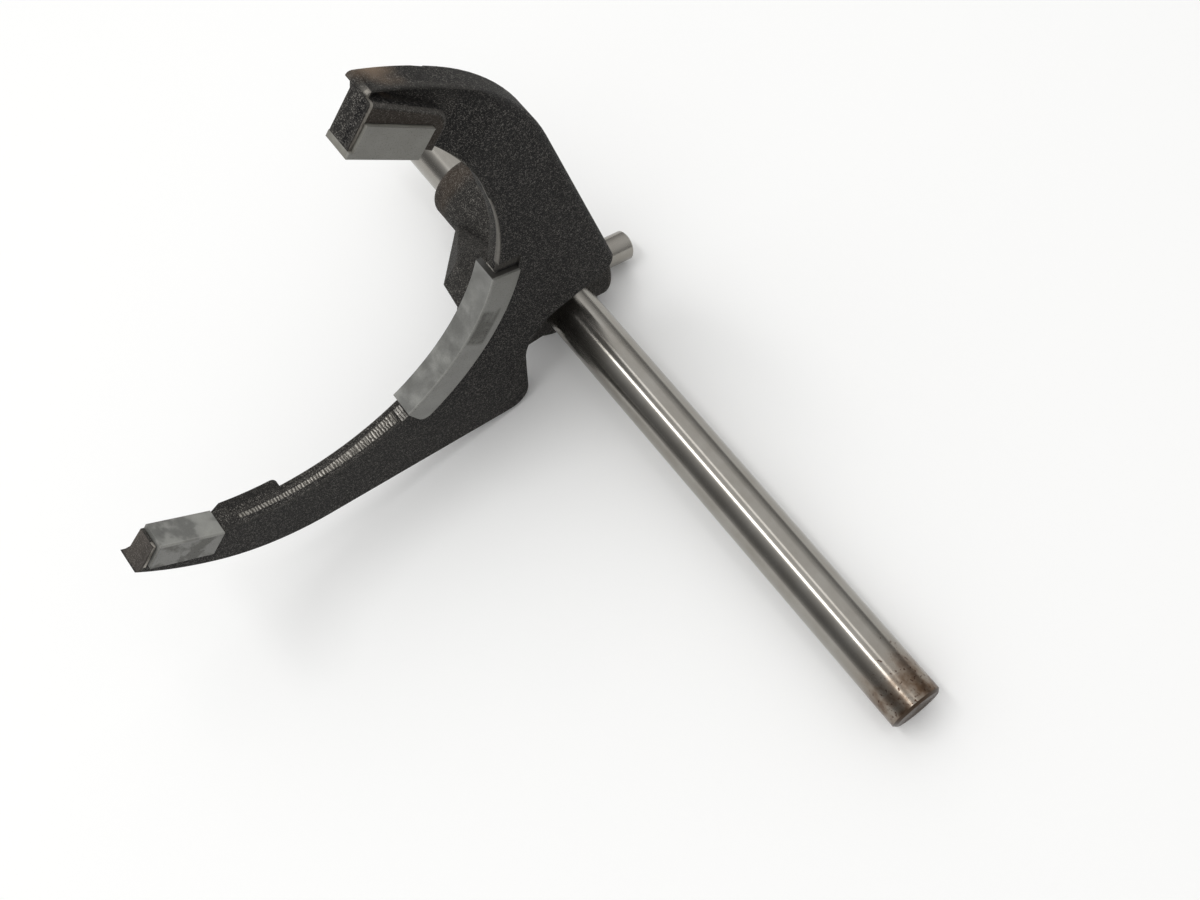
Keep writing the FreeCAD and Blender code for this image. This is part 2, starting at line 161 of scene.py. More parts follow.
# Shot-blasted cast iron. Dry, nearly black and evenly gritty, with a small light on each grain.
# Where the cutter cleared the bore it is bare metal: bright with chatter marks on the lower arm,
# faint on the upper one. Edges carry a painted highlight, hollows a painted shade, and a few places
# have rusted.
castIron = {
    "gritMm": 0.29,  # pits of the blasted skin, drawn a little coarser than they are, so that they show
    "grainMm": 1.1,
    "grainShare": 0.25,
    "skin": ((0.5, "#050505"), (0.6, "#201f1d"), (0.68, "#3b3937"), (0.8, "#98948d")),
    "patchMm": 17.0,
    "patchShade": ((0.3, 0.82), (0.7, 1.0)),
    "rustPatches": (0.4, 0.6),
    "nearFace": {"along": (-3.4, 1.0, 0.5)},
    # painted shade: the near face is multiplied by this grey, as it gets less light than the sides
    "nearFaceShade": (0.66, 0.66, 0.67, 1.0),
    "smoothing": 0.4,  # how much of the grit the sides' own grey covers
    # painted shade in hollows and painted highlight on edges: the rays' reach, the share of them that
    # is free where the mask starts and where it is full, and the most that it covers
    "hollowShadeRays": {"reachMm": 6.0, "clear": 0.75, "full": 0.35, "most": 0.45},
    "edge": {"reachMm": 1.6, "clear": 0.8, "full": 0.45, "most": 0.35},
    "raySamples": 6,
    # the upper pad's seat: its outer edge leans, and its outer corner towards the rail is round
    "seatCorner": {"across": 64.85, "lean": 0.056, "up": 107.7},
    "cutRadius": (65.05, 65.2),  # the bore's cut fades out between them
    # the cutter's strips: angles where their edges start and end, where the strip itself ends, and
    # where the near and the far edge are along the rail at the first two
    "lowerBand": {"fromDeg": -28.6, "toDeg": -54.0, "endDeg": -74.0, "near": (-1.9, -2.9),
                  "far": (-5.8, -4.7)},
    "upperBand": {"fromDeg": 26.0, "toDeg": 51.0, "endDeg": 51.0, "near": (0.0, 0.0),
                  "far": (-3.4, -2.5)},
    "bandEdgeMm": (-0.1, 0.25),  # how far inside its edges a strip starts and is full
    "bandEndDeg": 0.8,
    "chatterDeg": 0.85,
    "chatterWobble": 9.0,
    "chatterDepth": 0.22,
    "streaksPerDeg": 2.2,
    "chatter": ((0.26, "#4b4844"), (0.42, "#66635e"), (0.62, "#7c7973"), (0.82, "#aba7a0")),
    # where the lower strip shows: its mask and the grit are weighed together
    "ragged": {"cut": 0.55, "grit": 0.3, "clear": 0.42, "full": 0.52},
    "roughness": (0.78, 0.32),  # skin, bare metal
    "metallic": (0.05, 1.0),  # the same two
    "oilGloss": -0.375,  # what oil adds to the roughness
    "pitShare": 0.5,  # the grain's share in the skin's height
    "cutHeight": 0.15,  # the chatter's height on the cut
    "reliefMm": 0.6,
    "relief": (0.6, 1.0),  # sides, near face
    "roundMm": 0.4,
    "bevelSamples": 4,
    # painted places; one without a measure gets its mask in makeCastIron
    "places": {
        "lowerArm": {"hex": "#6f6c67", "strength": 0.12, "along": (-3.4, 1.0, 0.5),
                     "across": (-90.0, -45.0, 35.0)},
        "sides": {"hex": "#34322f"},
        # painted shade, darkening the hollows
        "hollowShade": {"hex": "#141312"},
        # painted highlight: the edges are lighter, as if catching the light
        "edges": {"hex": "#5b5853"},
        # the lugs behind the tips are darker, and the outside of the upper arm, which faces the lamps
        # above, has painted shade
        "lugs": {"hex": "#141312", "strength": 0.5, "radius": (66.1, 77.0, 0.2),
                 "along": (-11.2, -8.4, 0.4)},
        "upperArmShade": {"hex": "#191817", "strength": 0.35, "across": (78.0, 82.5, 1.5),
                     "up": (85.0, 128.0, 6.0)},
        # rust on the lip behind the upper tip and on the end of the boss tube
        "lipRust": {"hex": "#8b7866", "strength": 0.8, "up": (121.0, 130.0, 6.0),
                    "across": (74.0, 82.0, 3.0), "along": (-12.0, -6.0, 3.0)},
        "tubeRust": {"hex": "#655445", "strength": 0.25, "along": (-70.0, -62.0, 5.0)},
        # the upper pad's raised seat: brown on top, with a painted highlight on its rounded rim
        "seatTop": {"hex": "#4b4239", "strength": 0.5, "along": (-1.8, 0.0, 0.3),
                    "up": (102.0, 127.5, 0.2), "across": (65.0, 82.0, 0.5),
                    "fromCorner": (-1.0, 3.7, 0.8)},
        "seatRimHighlight": {"hex": "#7d7973", "strength": 0.3, "along": (-1.8, 0.0, 0.3),
                    "up": (102.0, 127.5, 0.2), "across": (65.0, 82.0, 0.5),
                    "fromCorner": (4.5, 5.0, 0.5)},
        # bare metal on the worn crests of both tips and the lower one's scraped end, and a painted
        # highlight on the upper one's rounded corner
        "upperCrest": {"hex": "#a19c94", "strength": 0.6, "up": (126.75, 127.4, 0.2),
                       "along": (-4.2, 0.0, 0.3), "across": (64.0, 80.0, 0.5)},
        "lowerCrest": {"hex": "#a19c94", "strength": 0.85, "up": (124.75, 125.45, 0.15),
                       "along": (-3.0, 0.0, 0.3), "across": (-72.5, -62.0, 0.5)},
        "lowerEnd": {"hex": "#6f6760", "strength": 0.35, "up": (125.55, 130.0, 0.1),
                     "across": (-74.0, -62.0, 1.0)},
        "tipCornerHighlight": {"hex": "#a29d95", "strength": 0.3, "slant": (205.08, 208.0, 0.2),
                      "along": (-3.9, -2.0, 3.6), "across": (76.8, 80.0, 0.3)},
        # the upper arm's cut, and the burr along it
        "upperCut": {"hex": "#a19d96", "strength": 0.45},
        "burr": {"hex": "#8a8781", "strength": 0.5, "radius": (64.6, 66.6, 0.1),
                 "turnDeg": (28.0, 72.0, 3.0), "along": (-2.3, -1.45, 0.12)},
        # a machined ridge where the cutter's run-out meets the end of the crown pad, with a painted
        # glint along it
        "ridge": {"hex": "#b9b5ad", "radius": (64.6, 65.5, 0.2), "turnDeg": (22.45, 22.8, 0.12),
                  "along": (-8.5, -1.0, 0.5), "grit": (0.46, 1.0, 0.1)},
        # the cut foot under the lower end of the crown pad
        "foot": {"hex": "#8b8883", "radius": (64.5, 65.4, 0.1), "turnDeg": (-27.5, -25.6, 0.2),
                 "along": (-5.8, 1.0, 0.2)},
        # the cutter's run-out is grey, with black oil between it and the pad
        "runOut": {"hex": "#57544f", "strength": 0.6, "turnDeg": (23.2, 25.9, 0.3),
                   "along": (-2.4, -1.5, 0.2), "radius": (60.0, 72.3, 0.3)},
        "oil": {"hex": "#100f0e", "strength": 0.8, "turnDeg": (22.3, 23.0, 0.5),
                "along": (-2.4, 0.5, 0.3), "radius": (60.0, 72.3, 0.3)},
    },
}


def bandMask(tree, where, band):
    # strip of the bore between its near and its far edge, which move evenly along the rail from
    # one angle to the other
    edges = [addNode(tree, "MapRange", {}, {
        "Value": where["turnDeg"], "From Min": band["fromDeg"], "From Max": band["toDeg"],
        "To Min": band[edge][0], "To Max": band[edge][1]}) for edge in ("near", "far")]
    above = addNode(tree, "Math", {"operation": "SUBTRACT"}, {0: edges[0], 1: where["along"]})
    below = addNode(tree, "Math", {"operation": "SUBTRACT"}, {0: where["along"], 1: edges[1]})
    inside = addNode(tree, "Math", {"operation": "MINIMUM"}, {0: above, 1: below})
    start, full = castIron["bandEdgeMm"]
    strip = addNode(tree, "MapRange", {}, {"Value": inside, "From Min": start, "From Max": full})
    low, high = sorted((band["fromDeg"], band["endDeg"]))
    return joinMasks(tree, "MULTIPLY", strip,
                     within(tree, where["turnDeg"], low, high, castIron["bandEndDeg"]))


def measureSeat(tree, where):
    # Distance from the middle of the seat's round corner: the length of (outwards from it, beside
    # the leaning edge; from it towards the rail), neither counted below 0.
    corner = castIron["seatCorner"]
    edge = addNode(tree, "Math", {"operation": "MULTIPLY_ADD"},
                   {0: where["up"], 1: -corner["lean"], 2: -corner["across"]})
    outward = addNode(tree, "Math", {"operation": "ADD"}, {0: edge, 1: where["across"]})
    back = addNode(tree, "Math", {"operation": "SUBTRACT"}, {0: corner["up"], 1: where["up"]})
    reach = addNode(tree, "CombineXYZ", {}, {"X": outward, "Y": back})
    reach = addNode(tree, "VectorMath", {"operation": "MAXIMUM"}, {0: reach, 1: (0, 0, 0)})
    return addNode(tree, "VectorMath", {"operation": "LENGTH"}, {0: reach})


def rayMask(tree, rays, inside):
    # where short rays meet the iron: outwards in a hollow, inwards close behind an edge
    free = addNode(tree, "AmbientOcclusion", {"samples": castIron["raySamples"], "inside": inside},
                   {"Distance": rays["reachMm"] / 1000})
    return addNode(tree, "MapRange", {}, {
        "Value": free.outputs["AO"], "From Min": rays["clear"], "From Max": rays["full"],
        "To Max": rays["most"]})


def chatterWave(tree, where, grain):
    # sine of the angle over the chatter's step, bent by the grain
    bend = addNode(tree, "Math", {"operation": "MULTIPLY"},
                   {0: grain, 1: castIron["chatterWobble"]})
    phase = addNode(tree, "Math", {"operation": "MULTIPLY_ADD"},
                    {0: where["turnDeg"], 1: 2 * math.pi / castIron["chatterDeg"], 2: bend})
    return addNode(tree, "Math", {"operation": "SINE"}, {0: phase})


def makeCastIron():
    finish, tree = newFinish("shot-blasted cast iron")
    fork = forkPlace(tree)
    grit = addNode(tree, "TexNoise", {}, {"Vector": fork, "Scale": 1 / castIron["gritMm"],
                                          "Detail": 1.5, "Roughness": 0.6})
    grain = addNode(tree, "TexNoise", {}, {"Vector": fork, "Scale": 1 / castIron["grainMm"],
                                           "Detail": 3.0})
    patches = addNode(tree, "TexNoise", {}, {"Vector": fork, "Scale": 1 / castIron["patchMm"],
                                             "Detail": 3.0})
    mixed = addNode(tree, "Math", {"operation": "MULTIPLY_ADD"},
                    {0: grain, 1: castIron["grainShare"], 2: grit})
    skin = addNode(tree, "ValToRGB", {"stops": castIron["skin"]}, {"Fac": mixed})
    shade = addNode(tree, "ValToRGB", {"stops": castIron["patchShade"]}, {"Fac": patches})
    colour = addNode(tree, "Mix", {"data_type": "RGBA", "blend_type": "MULTIPLY"},
                     {"Factor": 1.0, "A": skin, "B": shade})

    # where each place is
    where = measureFork(tree, fork)
    where["fromCorner"] = measureSeat(tree, where)
    where["slant"] = addNode(tree, "Math", {"operation": "ADD"},
                             {0: where["up"], 1: where["across"]})
    where["grit"] = grit
    places = castIron["places"]
    masks = {name: placeMask(tree, where, place) for name, place in places.items()}
    start, full = castIron["rustPatches"]
    rusty = addNode(tree, "MapRange", {}, {"Value": patches, "From Min": start, "From Max": full})
    for name in ("lipRust", "tubeRust"):
        masks[name] = joinMasks(tree, "MULTIPLY", masks[name], rusty)
    # painted shade darkens the hollows and a painted highlight lightens the edges, where short rays
    # meet the iron
    masks["hollowShade"] = rayMask(tree, castIron["hollowShadeRays"], False)
    masks["edges"] = rayMask(tree, castIron["edge"], True)
    face = placeMask(tree, where, castIron["nearFace"])
    masks["sides"] = addNode(tree, "MapRange", {}, {
        "Value": face, "To Min": castIron["smoothing"], "To Max": 0.0})
    start, end = castIron["cutRadius"]
    cut = addNode(tree, "MapRange", {}, {"Value": where["radius"], "From Min": start,
                                         "From Max": end, "To Min": 1.0, "To Max": 0.0})
    masks["upperCut"] = joinMasks(tree, "MULTIPLY", cut, masks["upperCut"],
                                  bandMask(tree, where, castIron["upperBand"]))

    # the near face of plate and arms is darkened as painted shade, and the sides are rubbed smoother
    colour = paint(tree, colour, places, masks, ("lowerArm", "sides"))
    colour = addNode(tree, "Mix", {"data_type": "RGBA", "blend_type": "MULTIPLY"},
                     {"Factor": face, "A": colour, "B": castIron["nearFaceShade"]})
    colour = paint(tree, colour, places, masks, (
        "hollowShade", "edges", "lugs", "upperArmShade", "lipRust", "tubeRust", "seatTop", "seatRimHighlight",
        "upperCrest", "lowerCrest", "lowerEnd", "tipCornerHighlight"))

    # the lower arm's cut: chatter marks, ragged at the edge of the strip
    wave = chatterWave(tree, where, grain)
    streak = addNode(tree, "TexNoise", {"noise_dimensions": "1D"},
                     {"W": where["turnDeg"], "Scale": castIron["streaksPerDeg"], "Detail": 4.0})
    ripple = addNode(tree, "Math", {"operation": "MULTIPLY_ADD"},
                     {0: wave, 1: castIron["chatterDepth"], 2: streak})
    chatter = addNode(tree, "ValToRGB", {"stops": castIron["chatter"]}, {"Fac": ripple})
    lower = joinMasks(tree, "MULTIPLY", cut, bandMask(tree, where, castIron["lowerBand"]))
    ragged = castIron["ragged"]
    rough = addNode(tree, "Math", {"operation": "MULTIPLY"}, {0: grit, 1: ragged["grit"]})
    rough = addNode(tree, "Math", {"operation": "MULTIPLY_ADD"},
                    {0: lower, 1: ragged["cut"], 2: rough})
    rough = addNode(tree, "MapRange", {}, {"Value": rough, "From Min": ragged["clear"],
                                           "From Max": ragged["full"]})
    lower = joinMasks(tree, "MULTIPLY", lower, rough)
    colour = addNode(tree, "Mix", {"data_type": "RGBA"},
                     {"Factor": lower, "A": colour, "B": chatter})
    colour = paint(tree, colour, places, masks,
                   ("upperCut", "burr", "ridge", "foot", "runOut", "oil"))

    # bare metal is smoother than the skin, and oil shines
    bare = joinMasks(tree, "MAXIMUM", lower, masks["foot"], masks["upperCrest"],
                     masks["lowerCrest"])
    dull = addNode(tree, "MapRange", {}, {"Value": bare, "To Min": castIron["roughness"][0],
                                          "To Max": castIron["roughness"][1]})
    dull = addNode(tree, "Math", {"operation": "MULTIPLY_ADD"},
                   {0: masks["oil"], 1: castIron["oilGloss"], 2: dull})
    metal = addNode(tree, "MapRange", {}, {"Value": bare, "To Min": castIron["metallic"][0],
                                           "To Max": castIron["metallic"][1]})

    # height: grit on the cast skin, chatter on the cut
    pitted = addNode(tree, "Math", {"operation": "MULTIPLY_ADD"},
                     {0: grain, 1: castIron["pitShare"], 2: grit})
    waved = addNode(tree, "Math", {"operation": "MULTIPLY"}, {0: wave, 1: castIron["cutHeight"]})
    height = addNode(tree, "Mix", {"data_type": "FLOAT"},
                     {"Factor": bare, "A": pitted, "B": waved})
    rounded = addNode(tree, "Bevel", {"samples": castIron["bevelSamples"]},
                      {"Radius": castIron["roundMm"] / 1000})
    relief = addNode(tree, "MapRange", {}, {"Value": face, "To Min": castIron["relief"][0],
                                            "To Max": castIron["relief"][1]})
    bump = addNode(tree, "Bump", {}, {"Distance": castIron["reliefMm"] / 1000,
                                      "Strength": relief, "Height": height, "Normal": rounded})
    iron = addNode(tree, "BsdfPrincipled", {}, {
        "Base Color": colour, "Roughness": dull, "Metallic": metal, "Normal": bump,
        "Specular IOR Level": 0.25})
    addNode(tree, "OutputMaterial", {}, {"Surface": iron})
    return finish


# Ground steel. Turned and ground bright, so it mirrors the room in long bands. Rust freckles and
# brown stains gather towards the rail's long end.
groundSteel = {
    "tone": ((0.3, "#8f8b84"), (0.7, "#9b9892")),
    "scratchMm": 0.18,  # grinding lines, drawn coarser than they are, so that they show
    "scratchDepthMm": 0.05,
    "scratchStrength": 0.1,
    "freckleMm": 1.1,
    "freckleGather": 0.35,
    "freckleAt": (0.88, 0.98),  # starts, is full
    "cloudMm": 9.0,
    "stainAt": (0.38, 0.62),
    "filmMm": (30.0, 3.0),  # starts and is full so far before the end of the stain
    "filmMost": 1.2,
    "filmAt": (0.38, 0.6, 0.25),  # starts, is full, least
    "tipMm": (5.2, 0.15),  # starts so far before the end of the stain, soft edge
    "roughness": (0.2, 0.42),  # clean, stained
    "places": {
        "film": {"hex": "#75624f"},
        "rust": {"hex": "#4a382e"},
        "tip": {"hex": "#43372d"},
    },
}


def makeGroundSteel(name, piece):
    finish, tree = newFinish(name)
    fork = forkPlace(tree)
    along = addNode(tree, "SeparateXYZ", {}, {"Vector": fork}).outputs["X"]
    rings = addNode(tree, "TexNoise", {"noise_dimensions": "1D"},
                    {"W": along, "Scale": 1 / groundSteel["scratchMm"], "Detail": 3.0})
    cloud = addNode(tree, "TexNoise", {}, {"Vector": fork, "Scale": 1 / groundSteel["cloudMm"],
                                           "Detail": 5.0, "Roughness": 0.6})
    freckle = addNode(tree, "TexNoise", {}, {"Vector": fork, "Scale": 1 / groundSteel["freckleMm"],
                                             "Detail": 3.0})
    # stains and freckles, both thicker towards the stained end
    near = addNode(tree, "MapRange", {}, {"Value": along, "From Min": piece["stainFrom"],
                                          "From Max": piece["stainTo"]})
    gathered = joinMasks(tree, "MULTIPLY", near, cloud)
    start, full = groundSteel["stainAt"]
    stain = addNode(tree, "MapRange", {}, {"Value": gathered, "From Min": start,
                                           "From Max": full})
    fleck = addNode(tree, "Math", {"operation": "MULTIPLY_ADD"},
                    {0: near, 1: groundSteel["freckleGather"], 2: freckle})
    start, full = groundSteel["freckleAt"]
    spots = addNode(tree, "MapRange", {}, {"Value": fleck, "From Min": start, "From Max": full})
    # a brown film gathers over the last stretch, and the end itself is dark
    start, full = groundSteel["filmMm"]
    film = addNode(tree, "MapRange", {"interpolation_type": "SMOOTHSTEP"}, {
        "Value": along, "From Min": piece["stainTo"] - start, "From Max": piece["stainTo"] - full,
        "To Max": groundSteel["filmMost"]})
    start, full, least = groundSteel["filmAt"]
    cloudy = addNode(tree, "MapRange", {}, {"Value": cloud, "From Min": start, "From Max": full,
                                            "To Min": least})
    length, soft = groundSteel["tipMm"]
    masks = {
        "film": joinMasks(tree, "MULTIPLY", film, cloudy),
        "rust": joinMasks(tree, "MAXIMUM", stain, spots),
        "tip": within(tree, along, piece["stainTo"] - length, piece["stainTo"], soft),
    }
    tone = addNode(tree, "ValToRGB", {"stops": groundSteel["tone"]}, {"Fac": cloud})
    colour = paint(tree, tone, groundSteel["places"], masks, ("film", "rust", "tip"))
    worn = joinMasks(tree, "MAXIMUM", masks["rust"], masks["film"])
    dull = addNode(tree, "MapRange", {}, {"Value": worn, "To Min": groundSteel["roughness"][0],
                                          "To Max": groundSteel["roughness"][1]})
    bump = addNode(tree, "Bump", {}, {"Strength": groundSteel["scratchStrength"],
                                      "Distance": groundSteel["scratchDepthMm"] / 1000,
                                      "Height": rings})
    # the wheel ran round the bar, so a reflection spreads along it: a quarter turn from the tangent
    ringWay = addNode(tree, "Tangent", {"direction_type": "RADIAL", "axis": "X"})
    steel = addNode(tree, "BsdfPrincipled", {}, {
        "Base Color": colour, "Roughness": dull, "Metallic": 1.0, "Normal": bump,
        "Anisotropic": piece["smear"], "Anisotropic Rotation": 0.25, "Tangent": ringWay})
    addNode(tree, "OutputMaterial", {}, {"Surface": steel})
    return finish


# Moulded nylon. Light grey and filled, satin, faintly clouded, with dark oil rubbed into it. The
# upper tip pad has yellowed a little, and the crown pad is black with oil at its upper end.
nylonPads = {
    "cloudMm": 6.0,
    "tone": ((0.34, "#6d6d69"), (0.5, "#7f7f7b"), (0.66, "#92928d")),
    "fineMm": 0.4,
    "speck": ((0.35, 0.86), (0.65, 1.0)),
    "smudgeMm": 8.0,
    "smudgeBend": 0.8,
    "dirtyAt": (0.53, 0.7, 0.4),  # starts, is full, most
    "rubbedAt": (0.3, 0.5),
    "roughness": (0.36, 0.9),  # clean, under dirt that has dulled it
    "reliefMm": 0.1,
    "relief": 0.25,
    "roundMm": 0.2,
    "bevelSamples": 4,
    # painted in this order; dirt gets its mask in makeNylon
    "places": {
        "dirt": {"hex": "#454441"},
        "yellowed": {"hex": "#8a8476", "strength": 0.35, "across": (60.0, 80.0, 1.0),
                     "up": (100.0, 130.0, 1.0)},
        "greyer": {"hex": "#5f5f5a", "strength": 0.35, "turnDeg": (13.0, 23.0, 7.0)},
        "oiled": {"hex": "#1d1a17", "strength": 0.85, "turnDeg": (22.26, 23.0, 0.03)},
        "nearFace": {"hex": "#2c2c2a", "strength": 0.4, "along": (-0.4, 0.1, 0.2)},
        # a smudge on the crown pad's flange, and smears on the lower pad's
        "smudge": {"hex": "#0c0c0b", "turnDeg": (0.8, 10.0, 1.8), "radius": (64.0, 69.0, 1.3),
                   "along": (-0.4, 0.1, 0.2)},
        "smears": {"hex": "#141412", "strength": 0.75, "across": (-80.0, -64.0, 0.5),
                   "along": (-0.4, 0.1, 0.2), "cloud": (0.55, 1.0, 0.12)},
        # the lower pad's sleeve side is paler, and the ridge beside the near face is rubbed pale
        "paler": {"hex": "#a2a29c", "strength": 0.4, "across": (-63.6, -60.0, 0.2),
                  "up": (100.0, 130.0, 1.0), "cloud": (0.5, 1.0, 0.12)},
        "ridge": {"hex": "#a5a49e", "strength": 0.35, "along": (-0.55, 0.1, 0.25),
                  "fine": (0.45, 1.0, 0.2)},
    },
}


def makeNylon():
    finish, tree = newFinish("moulded grey nylon")
    fork = forkPlace(tree)
    cloud = addNode(tree, "TexNoise", {}, {"Vector": fork, "Scale": 1 / nylonPads["cloudMm"],
                                           "Detail": 3.0, "Roughness": 0.5})
    fine = addNode(tree, "TexNoise", {}, {"Vector": fork, "Scale": 1 / nylonPads["fineMm"],
                                          "Detail": 2.0})
    smudge = addNode(tree, "TexNoise", {}, {"Vector": fork, "Scale": 1 / nylonPads["smudgeMm"],
                                            "Detail": 3.0, "Distortion": nylonPads["smudgeBend"]})
    tone = addNode(tree, "ValToRGB", {"stops": nylonPads["tone"]}, {"Fac": cloud})
    speck = addNode(tree, "ValToRGB", {"stops": nylonPads["speck"]}, {"Fac": fine})
    colour = addNode(tree, "Mix", {"data_type": "RGBA", "blend_type": "MULTIPLY"},
                     {"Factor": 1.0, "A": tone, "B": speck})
    where = measureFork(tree, fork)
    where["cloud"] = cloud
    where["fine"] = fine
    places = nylonPads["places"]
    masks = {name: placeMask(tree, where, place) for name, place in places.items()}
    start, full, most = nylonPads["dirtyAt"]
    masks["dirt"] = addNode(tree, "MapRange", {}, {"Value": smudge, "From Min": start,
                                                   "From Max": full, "To Max": most})
    start, full = nylonPads["rubbedAt"]
    rubbed = addNode(tree, "MapRange", {}, {"Value": smudge, "From Min": start,
                                            "From Max": full})
    masks["smudge"] = joinMasks(tree, "MULTIPLY", masks["smudge"], rubbed)
    colour = paint(tree, colour, places, masks, places)
    film = addNode(tree, "Math", {"operation": "ADD"}, {0: masks["smudge"], 1: masks["smears"]})
    dull = addNode(tree, "MapRange", {}, {"Value": film, "To Min": nylonPads["roughness"][0],
                                          "To Max": nylonPads["roughness"][1]})
    rounded = addNode(tree, "Bevel", {"samples": nylonPads["bevelSamples"]},
                      {"Radius": nylonPads["roundMm"] / 1000})
    bump = addNode(tree, "Bump", {}, {"Strength": nylonPads["relief"],
                                      "Distance": nylonPads["reliefMm"] / 1000,
                                      "Height": fine, "Normal": rounded})
    nylon = addNode(tree, "BsdfPrincipled", {}, {
        "Base Color": colour, "Roughness": dull, "IOR": 1.53, "Normal": bump})
    addNode(tree, "OutputMaterial", {}, {"Surface": nylon})
    return finish


def gridFaces(rows, columns):
    # quads between neighbouring rows of a grid, whose columns close round
    row, column = np.meshgrid(np.arange(rows - 1), np.arange(columns), indexing="ij")
    nextColumn = (column + 1) % columns
    return np.stack([row * columns + column, row * columns + nextColumn,
                     (row + 1) * columns + nextColumn, (row + 1) * columns + column],
                    axis=-1).reshape(-1, 4)


def turnedBar(profile, sides):
    # surface of revolution: point = (x, radius * cos a, radius * sin a), where (x, radius) walks
    # along the profile and a goes once round
    x, radius = np.asarray(profile, float).T
    angle = np.linspace(0, 2 * math.pi, sides, endpoint=False)
    points = np.stack([np.broadcast_to(x[:, None], (len(x), sides)),
                       radius[:, None] * np.cos(angle), radius[:, None] * np.sin(angle)], axis=-1)
    return points.reshape(-1, 3), gridFaces(len(x), sides)


# The rail is one turned surface, because a round bar that mirrors the room needs smooth normals.
groundRail = {
    "radius": 8.0,
    "longEnd": 145.5,
    "shortEnd": 99.0,
    "chamfer": 0.8,
    "endBreak": (0.08, 0.15),  # between chamfer and end face: along, down
    "sides": 192,
    "sharpDeg": 30,
    "seat": 0.2,
    "lead": 1.2,
    "seatFrom": -67.7,
    "seatTo": -10.7,
    "stainFrom": 85.0,
    "stainTo": 150.0,  # a little past the long end
    "smear": 0.85,
}


def railProfile():
    # both ends step from the middle of the end face over its broken edge and the chamfer; the
    # press seat between them is thicker, with a lead on either side
    radius, chamfer = groundRail["radius"], groundRail["chamfer"]
    breakAlong, breakDown = groundRail["endBreak"]
    end = [(0.0, 0.0), (0.0, radius - chamfer - breakDown), (breakAlong, radius - chamfer),
           (chamfer, radius)]
    thick, lead = radius + groundRail["seat"], groundRail["lead"]
    pressSeat = [(groundRail["seatFrom"] - lead, radius), (groundRail["seatFrom"], thick),
                 (groundRail["seatTo"], thick), (groundRail["seatTo"] + lead, radius)]
    return ([(x - groundRail["shortEnd"], high) for x, high in end] + pressSeat
            + [(groundRail["longEnd"] - x, high) for x, high in reversed(end)])


def addPiece(name, points, faces, finish, sharpDeg):
    mesh = bpy.data.meshes.new(name)
    mesh.from_pydata(points.tolist(), [], faces.tolist())
    mesh.validate()
    mesh.polygons.foreach_set("use_smooth", [True] * len(mesh.polygons))
    mesh.set_sharp_from_angle(angle=math.radians(sharpDeg))
    mesh.materials.append(finish)
    piece = bpy.data.objects.new(name, mesh)
    bpy.context.scene.collection.objects.link(piece)
    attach(piece, "root")
    return piece


railPoints, railFaces = turnedBar(railProfile(), groundRail["sides"])
shaft = addPiece("turned_rail", toRow(railPoints), railFaces,
                 makeGroundSteel("ground shaft steel", groundRail),
                 groundRail["sharpDeg"])
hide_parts("shift_rail")
print("rail turned")

selectorPin = {
    "stainFrom": 400.0,  # beyond the pin, so that it stays clean
    "stainTo": 500.0,
    "smear": 0.0,
}
padFinish = makeNylon()
finishes = {
    "fork_casting": makeCastIron(),
    "selector_pin": makeGroundSteel("ground pin steel", selectorPin),
    "crown_pad": padFinish,
    "upper_tip_pad": padFinish,
    "lower_tip_pad": padFinish,
}
for name, finish in finishes.items():
    nodes[name].data.materials.clear()
    nodes[name].data.materials.append(finish)
print("casting, pin and pads finished")

# The floor is white to the eye and the metal, and greyer in the light that it throws back.
studio = {
    "floorHex": "#fefefd",
    "bounceHex": "#b9b9b7",
    "floorSize": 6.0,
    # the room seen in the metal, by the angle round the rail as a share of the half turn from the
    # +Y horizon over the top to the -Y one, and how bright it is there
    "room": ((0.0, 0.9), (0.02, 0.30), (0.07, 0.32), (0.10, 0.50), (0.17, 0.70), (0.22, 1.0),
             (0.60, 1.0), (0.66, 0.60), (0.72, 0.42), (0.78, 0.27), (0.85, 0.21), (0.92, 0.28),
             (0.97, 0.50), (1.0, 0.9)),
    "skyLevel": (0.3, 0.95),
    "skyTilt": 0.4,
    "keySize": (0.65, 0.13),
    "keyPlace": (-0.12, -0.175, 0.92),
    "keyRadiance": 6.9,
    "sideSize": (0.65, 0.116),
    "sidePlace": (-0.12, 0.235, 0.92),
    "sideRadiance": 1.5,
}


def makeFloor():
    half = studio["floorSize"] / 2
    mesh = bpy.data.meshes.new("floor")
    mesh.from_pydata([(-half, -half, 0), (half, -half, 0), (half, half, 0), (-half, half, 0)],
                     [], [(0, 1, 2, 3)])
    finish, tree = newFinish("matt white board")
    rays = addNode(tree, "LightPath", {})
    thrown = addNode(tree, "Mix", {"data_type": "RGBA"}, {
        "Factor": rays.outputs["Is Diffuse Ray"], "A": linear(studio["floorHex"]),
        "B": linear(studio["bounceHex"])})
    board = addNode(tree, "BsdfDiffuse", {}, {"Color": thrown})
    addNode(tree, "OutputMaterial", {}, {"Surface": board})
    mesh.materials.append(finish)
    floor = bpy.data.objects.new("floor", mesh)
    bpy.context.scene.collection.objects.link(floor)


def addPanel(name, place, size, radiance):
    # lamp watts = pi * area * radiance
    lamp = bpy.data.lights.new(name, "AREA")
    lamp.shape = "RECTANGLE"
    lamp.size, lamp.size_y = size
    lamp.energy = math.pi * size[0] * size[1] * radiance
    panel = bpy.data.objects.new(name, lamp)
    panel.location = place
    bpy.context.scene.collection.objects.link(panel)


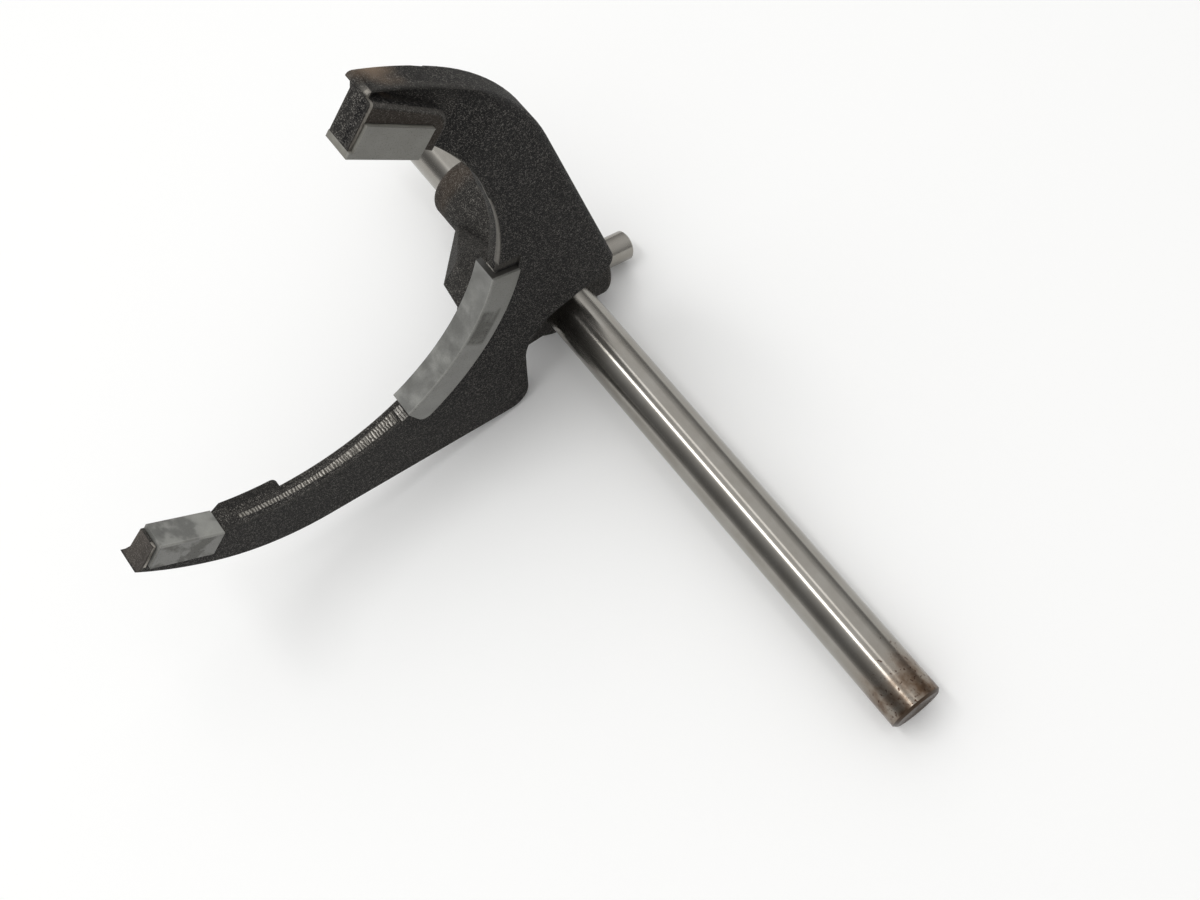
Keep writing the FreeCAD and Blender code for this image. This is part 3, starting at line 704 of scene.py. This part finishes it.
def makeRoom():
    # The camera sees white, and reflections show the room. The rest of the light comes from a sky
    # that brightens towards the zenith and the rail's short end.
    world = bpy.data.worlds.new("room")
    bpy.context.scene.world = world
    world.use_nodes = True
    tree = world.node_tree
    tree.nodes.clear()
    way = addNode(tree, "TexCoord", {})
    apart = addNode(tree, "SeparateXYZ", {}, {"Vector": way.outputs["Generated"]})
    angle = addNode(tree, "Math", {"operation": "ARCTAN2"},
                    {0: apart.outputs["Z"], 1: apart.outputs["Y"]})
    share = addNode(tree, "MapRange", {}, {"Value": angle, "From Min": 0.0, "From Max": math.pi})
    seen = addNode(tree, "ValToRGB", {"stops": studio["room"]}, {"Fac": share})
    rays = addNode(tree, "LightPath", {})
    shown = addNode(tree, "Mix", {"data_type": "RGBA"}, {
        "Factor": rays.outputs["Is Camera Ray"], "A": seen, "B": (1, 1, 1, 1)})
    looked = joinMasks(tree, "MAXIMUM", rays.outputs["Is Camera Ray"],
                       rays.outputs["Is Transmission Ray"], rays.outputs["Is Glossy Ray"])
    lift = addNode(tree, "Math", {"operation": "MULTIPLY_ADD"},
                   {0: apart.outputs["X"], 1: -studio["skyTilt"], 2: apart.outputs["Z"]})
    level = addNode(tree, "MapRange", {}, {
        "Value": lift, "From Min": -studio["skyTilt"],
        "To Min": studio["skyLevel"][0], "To Max": studio["skyLevel"][1]})
    light = addNode(tree, "Mix", {"data_type": "RGBA"},
                    {"Factor": looked, "A": level, "B": shown})
    back = addNode(tree, "Background", {}, {"Color": light, "Strength": 1.0})
    addNode(tree, "OutputWorld", {}, {"Surface": back})


makeFloor()
addPanel("key panel", studio["keyPlace"], studio["keySize"], studio["keyRadiance"])
addPanel("side panel", studio["sidePlace"], studio["sideSize"], studio["sideRadiance"])
makeRoom()

# the photograph's own viewpoint
eye = {
    "place": (0.18150912, 0.00185864, 0.40012172),
    "turnDeg": (21.8288274, 11.23849335, 53.1949427),
    "lensMm": 43.8912,
    "sensorMm": 36.0,
    "seesFrom": 0.01,
    "seesTo": 20.0,
}
lens = bpy.data.cameras.new("eye")
lens.lens = eye["lensMm"]
lens.sensor_width = eye["sensorMm"]
lens.clip_start = eye["seesFrom"]
lens.clip_end = eye["seesTo"]
camera = bpy.data.objects.new("eye", lens)
camera.location = eye["place"]
camera.rotation_euler = [math.radians(a) for a in eye["turnDeg"]]
bpy.context.scene.collection.objects.link(camera)
bpy.context.scene.camera = camera

bpy.context.scene.view_settings.view_transform = "Standard"
print("floor, lights and camera placed")
